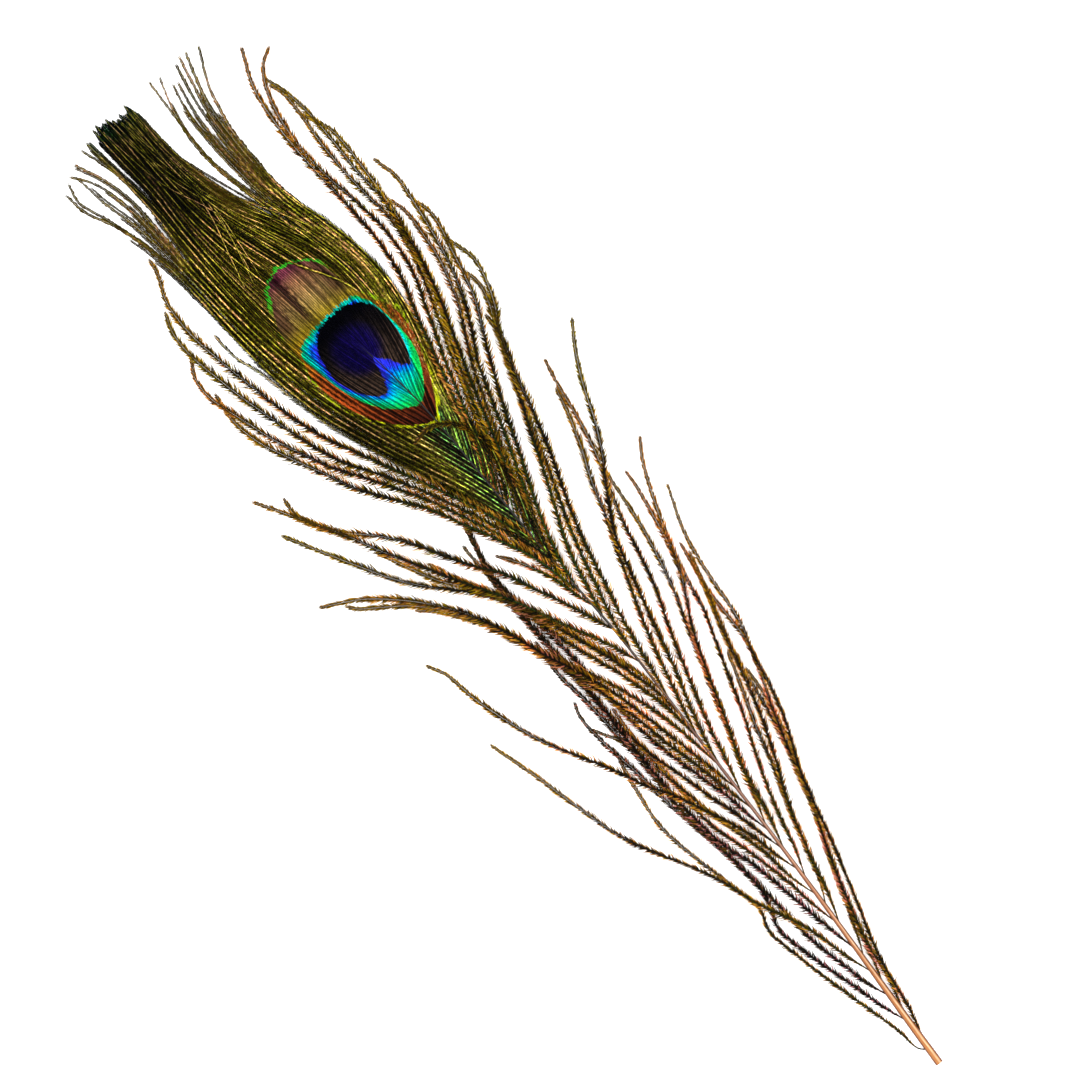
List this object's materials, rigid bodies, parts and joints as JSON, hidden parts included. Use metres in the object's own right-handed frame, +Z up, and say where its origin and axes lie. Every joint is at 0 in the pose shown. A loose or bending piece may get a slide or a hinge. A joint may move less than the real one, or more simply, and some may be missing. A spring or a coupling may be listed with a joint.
{
  "type": "peacock feather",
  "caption": "Peacock tail feather lying flat: bare quill, loose olive-bronze barbs, a close-knit vane with a blue-green eye and a square-cut tuft.",
  "frame": {"origin": "on the surface it lies on, under the middle of the feather's box", "axes": "+Y along the feather from the quill's cut end to the tuft, +Z up out of the coloured face, +X across to the right seen with the tuft away from the viewer"},
  "size_m": [0.0918, 0.3026, 0.006],
  "materials": {
    "barbs": "satin, olive to bronze with pinkish-brown glints",
    "quill": "satin horn",
    "eye": "iridescent blue, turquoise, green and bronze"
  },
  "bodies": {
    "root": {"feather": "barbs"}
  },
  "joints": []
}
